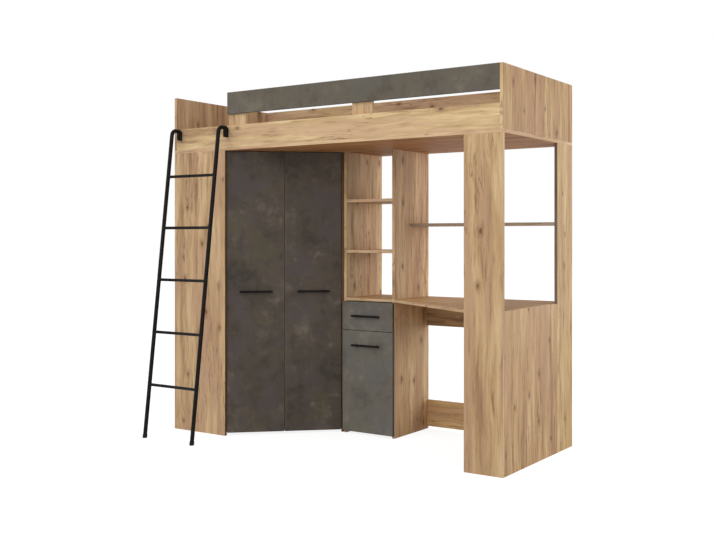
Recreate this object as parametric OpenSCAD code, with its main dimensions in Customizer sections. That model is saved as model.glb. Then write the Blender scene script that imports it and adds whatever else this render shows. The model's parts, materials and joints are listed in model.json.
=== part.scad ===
// Loft bed with a diagonal corner wardrobe, open shelves, a small drawer
// cabinet and a desk under the sleeping deck, and a lift-off steel ladder.
// Millimetres. X runs along the bed, Y from the front to the wall, Z up.
// The origin is on the floor, at the middle of the whole footprint.

/* [Boards and mattress] */
// Length of the mattress space
mattress_length = 2000; // [1900:10:2100]
// Width of the mattress space
mattress_width = 800; // [780:10:900]
// Thickness of every laminated board
board = 16; // [15:0.5:18]
// Thickness of the thin hardboard backs and the drawer bottom
hardboard = 3; // [2.5:0.5:4]

/* [Heights] */
// Top of the sleeping deck above the floor
deck_height = 1575; // [1520:5:1700]
// Height of the rim boards above the deck
rim_height = 299; // [280:1:340]
// Height of the long beam at the front of the deck
beam_height = 119; // [105:1:130]
// Height of the guard rail board
guard_height = 119; // [105:1:130]
// Top of the desk above the floor
desk_height = 750; // [720:5:780]
// Gap between the floor and the fronts
floor_gap = 14; // [10:1:18]

/* [Front and end panels] */
// Width of the front panel behind the ladder
left_panel_width = 377; // [360:1:400]
// Width of the front panel at the desk end
right_panel_width = 198; // [170:1:230]
// Width of the post in the back corner at the desk end
back_post_width = 200; // [170:1:230]
// Width of the two posts that carry the guard rail
guard_post_width = 120; // [100:1:140]
// Distance between the left edges of the two guard posts
guard_post_spacing = 810; // [700:10:900]
// Distance from the top of the guard rail down to the top of its posts
guard_post_drop = 14; // [8:1:25]

/* [Wardrobe, cabinet and shelves] */
// Outside width of the wardrobe along the wall
wardrobe_width = 866; // [840:1:900]
// Inside width of the cabinet and the open shelves
cabinet_width = 297; // [285:1:330]
// Depth of the cabinet, the shelves and the wardrobe side
cabinet_depth = 370; // [355:1:390]
// Height of the drawer front
drawer_front_height = 156; // [148:1:170]
// Top of the shelf inside the cabinet above the floor
cabinet_shelf_height = 300; // [240:5:340]
// Set-back of this shelf from the cabinet's front edge
cabinet_shelf_set_back = 20; // [10:1:60]
// Top of the hat shelf in the wardrobe above the floor
hat_shelf_height = 1300; // [1200:5:1350]
// Set-back of the hat shelf from the doors
hat_shelf_set_back = 60; // [50:1:90]
// Top of the long shelf over the desk above the floor
back_shelf_height = 1161; // [1100:1:1250]
// Depth of the long shelf over the desk
back_shelf_depth = 200; // [170:1:230]
// Height of the two rails at the back of the knee space
back_rail_height = 149; // [120:1:170]
// Bottom of the lower of these rails above the floor
low_rail_clearance = 15; // [10:1:40]

/* [Fronts] */
// Gap between two neighbouring fronts
front_gap = 3; // [2:0.5:4]
// Gap between a front and the outside line of its carcass
side_gap = 2; // [1.5:0.5:3]
// Gap behind the fronts
back_gap = 2; // [2:0.5:3]
// Set-back of the diagonal doors behind the edge of the wardrobe side
door_set_back = 4.5; // [4:0.5:7]
// Gap between the right diagonal door and the wardrobe side, along the doors
door_end_gap = 18; // [8:1:24]
// Set-back of the strip that fills this gap, behind the doors' faces
filler_set_back = 5; // [2:0.5:8]
// Gap between the diagonal doors and the wardrobe's bottom, for their turning corners
wardrobe_bottom_set_back = 4; // [3.5:0.5:8]
// Height of the wardrobe handles above the floor
wardrobe_handle_height = 786; // [750:1:1100]
// Distance from the top of the cabinet door to its handle
cabinet_handle_drop = 80; // [60:1:110]

/* [Handles] */
// Length of a handle bar
handle_length = 180; // [170:1:210]
// Distance between the two feet of a handle
handle_centres = 128; // [112:4:140]
// Diameter of a handle bar
handle_bar = 12; // [10:0.5:14]
// Diameter of a handle foot
handle_foot = 10; // [8:0.5:10]
// Distance from the front to the outside of the handle bar
handle_reach = 28; // [24:1:40]

/* [Drawer] */
// Thickness of the drawer's sides and back
drawer_board = 12; // [10:0.5:14]
// Length of the drawer box and of its runners
drawer_length = 345; // [300:5:345]
// Height of the drawer's sides
drawer_side_height = 100; // [80:1:110]
// Width of the gap that a runner fills beside the drawer
runner_gap = 13; // [12.5:0.5:14]
// Height of the runner fixed to the cabinet
runner_height = 27; // [24:1:35]
// Sheet thickness of the runners
runner_wall = 1.2; // [1:0.1:1.5]

/* [Concealed hinges] */
// Diameter of the hinge cup
cup_diameter = 35; // [26:1:35]
// Depth of the hinge cup in the door
cup_depth = 12; // [10:0.5:12]
// Distance from the door's edge to the cup's centre
cup_inset = 22.5; // [21:0.5:24]
// Distance from a door's end to its outermost hinge
hinge_end_distance = 100; // [80:5:140]
// Hinges on a wardrobe door
wardrobe_hinges = 4; // [2:1:5]
// Hinges on the cabinet door
cabinet_hinges = 2; // [2:1:3]

/* [Ladder] */
// Outside diameter of the ladder's rails
rail_diameter = 22; // [20:1:25]
// Wall thickness of the ladder's tubes
tube_wall = 2; // [1.5:0.25:2.5]
// Distance between the centre lines of the rails
ladder_width = 344; // [320:1:360]
// Distance from the bed's end to the nearer rail's centre line
ladder_inset = 51; // [35:1:60]
// Distance from the bed's front to the rails' feet
ladder_foot_out = 282; // [240:1:340]
// Radius of the bend at the top of a rail
bend_radius = 30; // [28:1:40]
// Distance from the top of the beam down to the top of the ladder
ladder_top_drop = 2; // [0:1:10]
// Diameter of a rung
rung_diameter = 16; // [14:1:20]
// Distance between two rungs, and from the floor to the first
rung_pitch = 284; // [270:1:290]
// Number of rungs
rung_count = 5; // [4:1:5]
// Diameter of the short leg that hangs on the keeper
leg_diameter = 18; // [16:1:20]
// Distance from the bed's front to the leg's centre line
leg_out = 22; // [18:1:26]
// Distance from the top of the ladder to the leg's lower end
leg_drop = 56; // [50:1:70]

/* [Hidden] */
$fn = 48;

oak = [0.74, 0.59, 0.42];
concrete = [0.36, 0.34, 0.31];
hardboard_brown = [0.55, 0.42, 0.30];
black = [0.10, 0.10, 0.11];
steel = [0.70, 0.71, 0.73];
cut = 1; // how far a cutting shape runs past the face that it opens
play = 0.3; // gap between pieces that move past each other

// Places along the bed, from its left end
bed_length = mattress_length + 2 * board;
bed_depth = mattress_width + 2 * board;
bed_right = bed_length - board;
bed_back = bed_depth - board;
right_panel_x = bed_length - right_panel_width;
wardrobe_side_x = wardrobe_width - board;
divider_x = wardrobe_width + cabinet_width;
desk_left = divider_x + board;

// Places from the bed's front towards the wall
cabinet_y = bed_depth - cabinet_depth;
front_back_y = cabinet_y - back_gap;
front_face_y = front_back_y - board;
back_inside_y = bed_depth - hardboard;
post_y = bed_depth - back_post_width;

// Heights above the floor
deck_under = deck_height - board;
rim_top = deck_height + rim_height;
desk_under = desk_height - board;
door_top = deck_under - front_gap;
carcass_bottom = floor_gap + side_gap;
carcass_floor = carcass_bottom + board;
drawer_front_top = desk_under - front_gap;
drawer_front_bottom = drawer_front_top - drawer_front_height;
cabinet_door_top = drawer_front_bottom - front_gap;
cross_rail_bottom = (drawer_front_bottom + cabinet_door_top - board) / 2;
cross_rail_top = cross_rail_bottom + board;
cross_rail_depth = 80;
open_shelves = 2; // they divide the height from the desk's underside to the deck
shelf_bay = (deck_under - desk_under - open_shelves * board) / (open_shelves + 1);

// The line of the diagonal doors runs from the left front panel to the wardrobe side
door_start = [left_panel_width + side_gap, board];
door_line_end = [wardrobe_side_x - side_gap, cabinet_y + door_set_back];
door_line = norm(door_line_end - door_start);
door_along = (door_line_end - door_start) / door_line;
door_angle = atan2(door_along.y, door_along.x);
door_run = door_line - door_end_gap;
door_width = (door_run - front_gap) / 2;

// Fronts of the drawer and the cabinet
front_left = wardrobe_side_x + side_gap;
front_right = desk_left - side_gap;
front_middle = (front_left + front_right) / 2;

// Drawer box
drawer_left = wardrobe_width + runner_gap;
drawer_right = divider_x - runner_gap;
drawer_lift = 8;
drawer_base = cross_rail_top + drawer_lift;
drawer_side_bottom = drawer_base + hardboard;
drawer_side_top = drawer_side_bottom + drawer_side_height;
drawer_end = front_back_y + drawer_length;
runner_z = drawer_side_bottom + drawer_side_height / 2;
runner_end_play = 4; // from a runner's edges to the web of the one it runs in
runner_depth = runner_gap - runner_end_play;

// Hinges: the rim of a cup lies on the back of its door
cup_rim = 1.5;
cup_flange = 1.2;
cup_wall = 2;
wing_width = 13;
wing_length = 48;
wing_offset = 6;
arm_height = 13;
plate_thickness = 3;
plate_wing = 46;
arm_thickness = 9;
arm_rise = 1.9;
arm_first = 22;
arm_last = 62;
arm_toe = 18;
arm_toe_height = 5;

// Ladder, seen from the side: foot, tangent line, bend, short level end, leg
rail_radius = rail_diameter / 2;
foot_wall = 1.5;
foot_radius = rail_radius + foot_wall;
foot_height = 20;
foot_sole = 4;
ladder_top = deck_height + beam_height - ladder_top_drop;
hook_z = ladder_top - rail_radius;
bend_y = -2 * leg_out;
bend_z = hook_z - bend_radius;
bend_distance = norm([bend_y + ladder_foot_out, bend_z]);
foot_to_bend = atan2(bend_z, bend_y + ladder_foot_out);
lean = 90 - foot_to_bend - asin(bend_radius / bend_distance);
rail_run = sqrt(bend_distance * bend_distance - bend_radius * bend_radius);
bend_swell = 0.05; // a bent tube is a little thicker than a straight one
bend_lap = 1; // length of straight tube inside the bend's ends
level_end = leg_out - leg_diameter / 2 - tube_wall;
leg_bottom = ladder_top - leg_drop;
leg_seat = hook_z - sqrt(pow(rail_radius, 2) - pow(leg_diameter / 2, 2)) + play;
leg_bore_top = hook_z - rail_radius;
ladder_x = [ladder_inset, ladder_inset + ladder_width];
pin_play = 0.5;
pin_radius = leg_diameter / 2 - tube_wall - pin_play;
pin_height = leg_bore_top - leg_bottom - tube_wall;
keeper_width = 16;
keeper_plate = 3;
keeper_tab = 6;
keeper_rise = 44;

// Deck screws: from the deck's top down into the upright boards
screw_radius = 3.5;
screw_length = 50;
screw_head_radius = 5;
screw_head_height = 2;
screw_socket_radius = 2;
screw_socket_depth = 1.2;
screw_play = 0.1;
screw_end = 60;
screw_points = concat(
    [for (x = [screw_end, left_panel_width / 2, left_panel_width - screw_end])
        [x, board / 2]],
    [for (y = [bed_depth / 3, bed_depth - screw_end]) [board / 2, y]],
    [for (x = [wardrobe_side_x, divider_x], y = [cabinet_y + screw_end, bed_depth - screw_end])
        [x + board / 2, y]],
    [for (x = [right_panel_x + screw_end, bed_length - screw_end]) [x, board / 2]],
    [for (y = [post_y + screw_end, bed_depth - screw_end]) [bed_right + board / 2, y]]);

// Shelf pins: under the cabinet shelf and the hat shelf
pin_hole_radius = 2.5;
pin_hole_depth = 9;
pin_head_radius = 4;
pin_head_length = 8;
pin_edge = 50;
hat_pin_front = 120; // from the wardrobe side's front edge
cabinet_shelf_y = cabinet_y + cabinet_shelf_set_back;
hat_shelf_under = hat_shelf_height - board;
hat_pin_y = [cabinet_y + hat_pin_front, back_inside_y - pin_edge];
cabinet_pin_y = [cabinet_shelf_y + pin_edge, back_inside_y - pin_edge];
pin_points = concat(
    [for (y = hat_pin_y) [board, y, hat_shelf_under, 1]],
    [for (y = hat_pin_y) [wardrobe_side_x, y, hat_shelf_under, -1]],
    [for (y = cabinet_pin_y) [wardrobe_width, y, cabinet_shelf_height - board, 1]],
    [for (y = cabinet_pin_y) [divider_x, y, cabinet_shelf_height - board, -1]]);

// Hanging rail: an oval tube in two open cradles
hanger_width = 15;
hanger_height = 30;
hanger_wall = 1.5;
hanger_drop = 70;
hanger_back = 290;
hanger_y = bed_depth - hanger_back;
hanger_z = hat_shelf_under - hanger_drop;
socket_plate = 3;
socket_wall = 2;
socket_length = 14;

// The middle of the footprint, from the ladder's feet to the wall
footprint_front = -(ladder_foot_out + foot_radius / cos(lean));
footprint_middle = (footprint_front + bed_depth) / 2;

function across(v) = [v.y, -v.x];
function hinge_heights(low, high, n) =
    [for (i = [0:n - 1]) low + hinge_end_distance
        + i * (high - low - 2 * hinge_end_distance) / (n - 1)];
wardrobe_hinge_z = hinge_heights(floor_gap, door_top, wardrobe_hinges);
cabinet_hinge_z = hinge_heights(floor_gap, cabinet_door_top, cabinet_hinges);

// Moves a piece from the bed's front left corner to the middle of the footprint
module from_corner() {
    translate([-bed_length / 2, -footprint_middle, 0]) children();
}

// A rectangular piece from its lowest to its highest corner
module block(low, high) {
    translate(low) cube(high - low);
}

// A board of the frame, less the holes of the deck screws and shelf pins in it
module drilled_board(low, high) {
    from_corner() difference() {
        block(low, high);
        screw_holes();
        pin_holes();
    }
}

module plain_board(low, high) {
    from_corner() block(low, high);
}

module screw_shape(room) {
    translate([0, 0, deck_height - screw_length])
        cylinder(h = screw_length, r = screw_radius + room);
    translate([0, 0, deck_height - screw_head_height])
        cylinder(h = screw_head_height + room, r = screw_head_radius + room);
}

module screw_holes() {
    for (p = screw_points) translate([p.x, p.y, 0]) screw_shape(screw_play);
}

module pin_holes() {
    for (p = pin_points) {
        translate([p.x, p.y, p.z - pin_head_radius]) rotate([0, -90 * p[3], 0])
            cylinder(h = pin_hole_depth, r = pin_hole_radius + screw_play);
    }
}

// Sleeping deck and its rim
module deck_board() {
    color(oak) drilled_board([0, 0, deck_under], [bed_length, bed_depth, deck_height]);
}

module left_end_panel() {
    color(oak) plain_board([0, 0, deck_height], [board, bed_depth, rim_top]);
}

module right_end_panel() {
    color(oak) plain_board([bed_right, 0, deck_height], [bed_length, bed_depth, rim_top]);
}

module front_beam() {
    color(oak) plain_board([board, 0, deck_height], [bed_right, board, deck_height + beam_height]);
}

module back_rail() {
    color(oak) plain_board([board, bed_back, deck_height], [bed_right, bed_depth, rim_top]);
}

module guard_rail() {
    color(concrete) plain_board([left_panel_width + board, 0, rim_top - guard_height],
        [bed_right, board, rim_top]);
}

module guard_post(x) {
    color(oak) plain_board([x, board, deck_height],
        [x + guard_post_width, 2 * board, rim_top - guard_post_drop]);
}

module guard_post_left() {
    guard_post(left_panel_width + board);
}

module guard_post_middle() {
    guard_post(left_panel_width + board + guard_post_spacing);
}

// Upright boards on the floor
module left_front_panel() {
    color(oak) drilled_board([0, 0, 0], [left_panel_width, board, deck_under]);
}

module right_front_panel() {
    color(oak) drilled_board([right_panel_x, 0, 0], [bed_length, board, deck_under]);
}

module right_side_panel() {
    color(oak) plain_board([bed_right, board, 0], [bed_length, post_y, desk_height]);
}

module right_back_post() {
    color(oak) drilled_board([bed_right, post_y, 0], [bed_length, bed_depth, deck_under]);
}

module wardrobe_left_side() {
    color(oak) drilled_board([0, board, 0], [board, bed_depth, deck_under]);
}

module wardrobe_right_side() {
    color(oak) drilled_board([wardrobe_side_x, cabinet_y, 0],
        [wardrobe_width, bed_depth, deck_under]);
}

// Wardrobe shelves follow the doors: the corner in front of the line is cut off
module corner_shelf(under, set_back) {
    from_corner() difference() {
        block([board, board, under], [wardrobe_side_x, back_inside_y, under + board]);
        translate([door_start.x, door_start.y, under - cut]) rotate([0, 0, door_angle])
            block([-bed_length, board + set_back - bed_length, 0],
                [bed_length, board + set_back, board + 2 * cut]);
    }
}

module wardrobe_bottom() {
    color(oak) corner_shelf(carcass_bottom, wardrobe_bottom_set_back);
}

module hat_shelf() {
    color(oak) corner_shelf(hat_shelf_under, hat_shelf_set_back);
}

module wardrobe_back() {
    color(hardboard_brown) plain_board([board, back_inside_y, carcass_bottom],
        [wardrobe_side_x, bed_depth, deck_under]);
}

module oval(width, height) {
    square([width, height - width], center = true);
    for (s = [-1, 1]) translate([0, s * (height - width) / 2]) circle(d = width);
}

module hanging_rail() {
    color(steel) from_corner()
        translate([board + socket_plate + play, hanger_y, hanger_z]) rotate([90, 0, 90])
            linear_extrude(wardrobe_side_x - board - 2 * (socket_plate + play)) difference() {
                oval(hanger_width, hanger_height);
                oval(hanger_width - 2 * hanger_wall, hanger_height - 2 * hanger_wall);
            }
}

module hanging_rail_socket() {
    inner = hanger_width + play;
    outer = inner + 2 * socket_wall;
    depth = hanger_height + play;
    rotate([90, 0, 90]) {
        linear_extrude(socket_plate) oval(outer, depth + 2 * socket_wall);
        translate([0, 0, socket_plate]) linear_extrude(socket_length) difference() {
            oval(outer, depth + 2 * socket_wall);
            oval(inner, depth);
            translate([-outer, 0]) square([2 * outer, depth]);
        }
    }
}

module hanging_rail_sockets() {
    color(steel) from_corner() {
        translate([board, hanger_y, hanger_z]) hanging_rail_socket();
        translate([wardrobe_side_x, hanger_y, hanger_z]) mirror([1, 0, 0]) hanging_rail_socket();
    }
}

// Desk, divider, cabinet carcass and shelves
module desk_top() {
    color(oak) from_corner() translate([0, 0, desk_under]) linear_extrude(board)
        polygon([[wardrobe_width, cabinet_y], [desk_left, cabinet_y], [right_panel_x, board],
            [bed_right, board], [bed_right, bed_depth], [wardrobe_width, bed_depth]]);
}

module divider_lower() {
    color(oak) drilled_board([divider_x, cabinet_y, 0], [desk_left, bed_depth, desk_under]);
}

module divider_upper() {
    color(oak) drilled_board([divider_x, cabinet_y, desk_height],
        [desk_left, bed_depth, deck_under]);
}

module cabinet_bottom() {
    color(oak) plain_board([wardrobe_width, cabinet_y, carcass_bottom],
        [divider_x, back_inside_y, carcass_floor]);
}

module cabinet_back() {
    color(hardboard_brown) plain_board([wardrobe_width, back_inside_y, carcass_bottom],
        [divider_x, bed_depth, desk_under]);
}

module cabinet_cross_rail() {
    color(oak) plain_board([wardrobe_width, cabinet_y, cross_rail_bottom],
        [divider_x, cabinet_y + cross_rail_depth, cross_rail_top]);
}

module cabinet_shelf() {
    color(oak) plain_board([wardrobe_width, cabinet_shelf_y, cabinet_shelf_height - board],
        [divider_x, back_inside_y, cabinet_shelf_height]);
}

module shelf_pins() {
    color(steel) from_corner() for (p = pin_points) {
        translate([p.x, p.y, p.z - pin_head_radius]) rotate([0, 90 * p[3], 0]) {
            cylinder(h = pin_head_length, r = pin_head_radius);
            translate([0, 0, -pin_hole_depth]) cylinder(h = pin_hole_depth, r = pin_hole_radius);
        }
    }
}

module open_shelf(n) {
    under = desk_under + n * shelf_bay + (n - 1) * board;
    color(oak) plain_board([wardrobe_width, cabinet_y, under],
        [divider_x, bed_depth, under + board]);
}

module open_shelf_lower() {
    open_shelf(1);
}

module open_shelf_upper() {
    open_shelf(2);
}

module back_shelf() {
    color(oak) plain_board([desk_left, bed_depth - back_shelf_depth, back_shelf_height - board],
        [bed_right, bed_depth, back_shelf_height]);
}

module under_desk_rail() {
    color(oak) plain_board([desk_left, bed_back, desk_under - back_rail_height],
        [bed_right, bed_depth, desk_under]);
}

module low_back_rail() {
    color(oak) plain_board([desk_left, bed_back, low_rail_clearance],
        [bed_right, bed_depth, low_rail_clearance + back_rail_height]);
}

module deck_screws() {
    color(steel) from_corner() for (p = screw_points) translate([p.x, p.y, 0]) difference() {
        screw_shape(0);
        translate([0, 0, deck_height - screw_socket_depth])
            cylinder(h = screw_socket_depth + cut, r = screw_socket_radius, $fn = 6);
    }
}

// Handles: a round bar on two feet, from the face at y = 0 towards -y
module handle() {
    bar_y = handle_bar / 2 - handle_reach;
    translate([-handle_length / 2, bar_y, 0]) rotate([0, 90, 0])
        cylinder(h = handle_length, d = handle_bar);
    for (s = [-1, 1]) difference() {
        translate([s * handle_centres / 2, 0, 0]) rotate([90, 0, 0])
            cylinder(h = -bar_y, d = handle_foot);
        translate([-handle_length / 2, bar_y, 0]) rotate([0, 90, 0])
            cylinder(h = handle_length, d = handle_bar - play);
    }
}

// Hinge cup in a door whose hinged edge is at x = 0 and whose back is at y = board
module cup_hole() {
    translate([cup_inset, board + cut, 0]) rotate([90, 0, 0])
        cylinder(h = cup_depth + cut + screw_play, d = cup_diameter + 2 * screw_play);
}

module hinge_cup() {
    translate([cup_inset, board, 0]) difference() {
        union() {
            rotate([90, 0, 0]) cylinder(h = cup_depth, d = cup_diameter);
            rotate([-90, 0, 0]) linear_extrude(cup_flange) {
                circle(d = cup_diameter + 2 * cup_rim);
                translate([wing_offset, 0]) oval(wing_width, wing_length + wing_width);
            }
        }
        translate([0, cup_flange + cut, 0]) rotate([90, 0, 0])
            cylinder(h = cup_depth - cup_wall + cup_flange + cut, d = cup_diameter - 2 * cup_wall);
    }
}

// Hinge arm on a carcass face. The face starts at face_point and runs inwards
// along face_dir, in the same frame as the cup; bend_x is where the arm turns.
module hinge_arm(face_point, face_dir, bend_x) {
    away = across(face_dir);
    floor_y = board + back_gap + arm_rise - cup_flange / 2;
    toe_y = board + cup_flange + play;
    toe_x = cup_inset + arm_toe;
    top = plate_thickness + arm_thickness;
    translate([0, 0, -arm_height / 2]) linear_extrude(arm_height) polygon([
        face_point + arm_last * face_dir + top * away,
        face_point + arm_last * face_dir,
        face_point + arm_first * face_dir,
        face_point + arm_first * face_dir + plate_thickness * away,
        [bend_x, floor_y],
        [cup_inset, floor_y],
        [cup_inset, toe_y],
        [toe_x, toe_y],
        [toe_x, toe_y + arm_toe_height],
        [toe_x - arm_toe / 2, toe_y + arm_thickness],
        face_point + arm_first * face_dir + top * away]);
    wing = arm_height;
    middle = (arm_first + arm_last) / 2;
    translate([0, 0, -plate_wing / 2]) linear_extrude(plate_wing) polygon([
        face_point + (middle - wing / 2) * face_dir,
        face_point + (middle + wing / 2) * face_dir,
        face_point + (middle + wing / 2) * face_dir + plate_thickness * away,
        face_point + (middle - wing / 2) * face_dir + plate_thickness * away]);
}

// Diagonal doors: x runs along the doors from their left end, y into the wardrobe
module diagonal() {
    from_corner() translate([door_start.x, door_start.y, 0]) rotate([0, 0, door_angle])
        children();
}

module from_right_end() {
    translate([door_run, 0, 0]) mirror([1, 0, 0]) children();
}

function door_frame(v) = [v.x * door_along.x + v.y * door_along.y,
    v.y * door_along.x - v.x * door_along.y];
function mirrored(v) = [-v.x, v.y];
left_face_point = door_frame([-side_gap, 0]);
left_face_dir = door_frame([-1, 0]);
right_face_dir = mirrored(door_frame([0, 1]));
right_face_corner = mirrored(door_frame([side_gap, -door_set_back]) + [door_end_gap, 0]);
right_face_point = right_face_corner - right_face_corner.y / right_face_dir.y * right_face_dir;

// The filler reaches from beside the right door to the wardrobe side, before the hinge arms
filler_back = arm_first * right_face_dir.y - play;
function right_face(y) = right_face_point + y / right_face_dir.y * right_face_dir;

module wardrobe_filler() {
    color(oak) diagonal() from_right_end() linear_extrude(deck_under) polygon([
        [-front_gap, filler_set_back],
        right_face(filler_set_back),
        right_face(filler_back),
        [-front_gap, filler_back]]);
}

module wardrobe_door() {
    difference() {
        block([0, 0, floor_gap], [door_width, board, door_top]);
        for (z = wardrobe_hinge_z) translate([0, 0, z]) cup_hole();
    }
}

module wardrobe_door_left() {
    color(concrete) diagonal() wardrobe_door();
}

module wardrobe_door_right() {
    color(concrete) diagonal() from_right_end() wardrobe_door();
}

module hinge_cups_left() {
    color(steel) diagonal() for (z = wardrobe_hinge_z) translate([0, 0, z]) hinge_cup();
}

module hinge_cups_right() {
    color(steel) diagonal() from_right_end()
        for (z = wardrobe_hinge_z) translate([0, 0, z]) hinge_cup();
}

module handle_left() {
    color(black) diagonal() translate([door_width / 2, 0, wardrobe_handle_height]) handle();
}

module handle_right() {
    color(black) diagonal() translate([door_run - door_width / 2, 0, wardrobe_handle_height])
        handle();
}

module wardrobe_hinge_arms() {
    color(steel) diagonal() for (z = wardrobe_hinge_z) translate([0, 0, z]) {
        hinge_arm(left_face_point, left_face_dir, 0);
        from_right_end() hinge_arm(right_face_point, right_face_dir, 0);
    }
}

// Cabinet door: hinged on the divider, so x runs to the left from its right edge
module cabinet_hinge_side() {
    from_corner() translate([front_right, front_face_y, 0]) mirror([1, 0, 0]) children();
}

module cabinet_door() {
    color(concrete) cabinet_hinge_side() difference() {
        block([0, 0, floor_gap], [front_right - front_left, board, cabinet_door_top]);
        for (z = cabinet_hinge_z) translate([0, 0, z]) cup_hole();
    }
}

module cabinet_hinge_cups() {
    color(steel) cabinet_hinge_side()
        for (z = cabinet_hinge_z) translate([0, 0, z]) hinge_cup();
}

module cabinet_hinge_arms() {
    face_x = front_right - divider_x;
    color(steel) cabinet_hinge_side() for (z = cabinet_hinge_z) translate([0, 0, z])
        hinge_arm([face_x, board + back_gap], [0, 1], face_x + plate_thickness);
}

module cabinet_door_handle() {
    color(black) from_corner()
        translate([front_middle, front_face_y, cabinet_door_top - cabinet_handle_drop]) handle();
}

// Drawer
module drawer_front() {
    color(concrete) plain_board([front_left, front_face_y, drawer_front_bottom],
        [front_right, front_back_y, drawer_front_top]);
}

module drawer_left_side() {
    color(oak) plain_board([drawer_left, front_back_y, drawer_side_bottom],
        [drawer_left + drawer_board, drawer_end, drawer_side_top]);
}

module drawer_right_side() {
    color(oak) plain_board([drawer_right - drawer_board, front_back_y, drawer_side_bottom],
        [drawer_right, drawer_end, drawer_side_top]);
}

module drawer_back() {
    color(oak) plain_board([drawer_left + drawer_board, drawer_end - drawer_board,
            drawer_side_bottom],
        [drawer_right - drawer_board, drawer_end, drawer_side_top]);
}

module drawer_bottom() {
    color(hardboard_brown) plain_board([drawer_left, front_back_y, drawer_base],
        [drawer_right, drawer_end, drawer_side_bottom]);
}

module drawer_handle() {
    color(black) from_corner()
        translate([front_middle, front_face_y, (drawer_front_bottom + drawer_front_top) / 2])
            handle();
}

// A C-shaped runner that lies on the plane x = 0 and opens towards +x
module channel(height) {
    translate([0, cabinet_y + back_gap, 0]) rotate([90, 0, 0])
        mirror([0, 0, 1]) linear_extrude(drawer_end - cabinet_y - back_gap) difference() {
            translate([0, -height / 2]) square([runner_depth, height]);
            translate([runner_wall, runner_wall - height / 2])
                square([runner_depth, height - 2 * runner_wall]);
        }
}

module cabinet_runners() {
    color(steel) from_corner() {
        translate([wardrobe_width, 0, runner_z]) channel(runner_height);
        translate([divider_x, 0, runner_z]) mirror([1, 0, 0]) channel(runner_height);
    }
}

module drawer_runners() {
    inner = runner_height - 2 * runner_wall - 2 * play;
    color(steel) from_corner() {
        translate([drawer_left, 0, runner_z]) mirror([1, 0, 0]) channel(inner);
        translate([drawer_right, 0, runner_z]) channel(inner);
    }
}

// Ladder: all of its tubes lie in planes across the bed
module along_rail(x) {
    translate([x, -ladder_foot_out, 0]) rotate([-lean, 0, 0]) children();
}

module rail_path(x, r, start, end) {
    along_rail(x) translate([0, 0, start]) cylinder(h = rail_run + bend_lap - start, r = r);
    translate([x, bend_y, bend_z]) rotate([90, 0, 90]) rotate([0, 0, 90])
        rotate_extrude(angle = 90 - lean) translate([bend_radius, 0]) circle(r = r + bend_swell);
    translate([x, bend_y - bend_lap, hook_z]) rotate([-90, 0, 0])
        cylinder(h = bend_lap - bend_y - level_end - end, r = r);
}

module leg(x, r, low, high) {
    translate([x, -leg_out, low]) cylinder(h = high - low, r = r);
}

module ladder_rail(x) {
    inner = rail_radius - tube_wall;
    bore = leg_diameter / 2 - tube_wall;
    from_corner() difference() {
        union() {
            rail_path(x, rail_radius, foot_sole, 0);
            leg(x, leg_diameter / 2, leg_bottom, leg_seat);
        }
        rail_path(x, inner, foot_sole - cut, tube_wall);
        leg(x, bore, leg_bottom - cut, leg_bore_top);
    }
}

module ladder_rail_left() {
    color(black) ladder_rail(ladder_x[0]);
}

module ladder_rail_right() {
    color(black) ladder_rail(ladder_x[1]);
}

module ladder_rungs() {
    color(black) from_corner() difference() {
        for (n = [1:rung_count]) along_rail(ladder_x[0])
            translate([0, 0, n * rung_pitch / cos(lean)]) rotate([0, 90, 0])
                cylinder(h = ladder_width, d = rung_diameter);
        for (x = ladder_x) along_rail(x) cylinder(h = rail_run, r = rail_radius);
    }
}

module ladder_feet() {
    color(black) from_corner() for (x = ladder_x) difference() {
        along_rail(x) translate([0, 0, -foot_height])
            cylinder(h = 2 * foot_height, r = foot_radius);
        along_rail(x) translate([0, 0, foot_sole]) cylinder(h = foot_height, r = rail_radius);
        translate([x, -ladder_foot_out, 0])
            block([-2 * foot_radius, -2 * foot_radius, -2 * foot_height],
                [2 * foot_radius, 2 * foot_radius, 0]);
    }
}

// Keepers: a plate on the beam, a tab under the ladder's leg and a pin inside it
module ladder_keepers() {
    tab_top = leg_bottom - play;
    tab_low = tab_top - keeper_tab;
    half = keeper_width / 2;
    color(black) from_corner() for (x = ladder_x) {
        block([x - half, -keeper_plate, tab_low], [x + half, 0, tab_top + keeper_rise]);
        block([x - half, -leg_out, tab_low], [x + half, -keeper_plate, tab_top]);
        translate([x, -leg_out, tab_low]) cylinder(h = keeper_tab, r = half);
        translate([x, -leg_out, tab_top]) cylinder(h = pin_height, r = pin_radius);
    }
}

deck_board();
left_end_panel();
right_end_panel();
front_beam();
back_rail();
guard_rail();
guard_post_left();
guard_post_middle();
left_front_panel();
right_front_panel();
right_side_panel();
right_back_post();
wardrobe_left_side();
wardrobe_right_side();
wardrobe_filler();
wardrobe_bottom();
wardrobe_back();
hat_shelf();
hanging_rail();
hanging_rail_sockets();
desk_top();
divider_lower();
divider_upper();
cabinet_bottom();
cabinet_back();
cabinet_cross_rail();
cabinet_shelf();
shelf_pins();
open_shelf_lower();
open_shelf_upper();
back_shelf();
under_desk_rail();
low_back_rail();
deck_screws();
wardrobe_hinge_arms();
cabinet_hinge_arms();
cabinet_runners();
ladder_keepers();
wardrobe_door_left();
handle_left();
hinge_cups_left();
wardrobe_door_right();
handle_right();
hinge_cups_right();
cabinet_door();
cabinet_door_handle();
cabinet_hinge_cups();
drawer_front();
drawer_left_side();
drawer_right_side();
drawer_back();
drawer_bottom();
drawer_handle();
drawer_runners();
ladder_rail_left();
ladder_rail_right();
ladder_rungs();
ladder_feet();
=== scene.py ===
import json
import math

import bmesh
import bpy
from mathutils import Matrix, Vector


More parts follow.
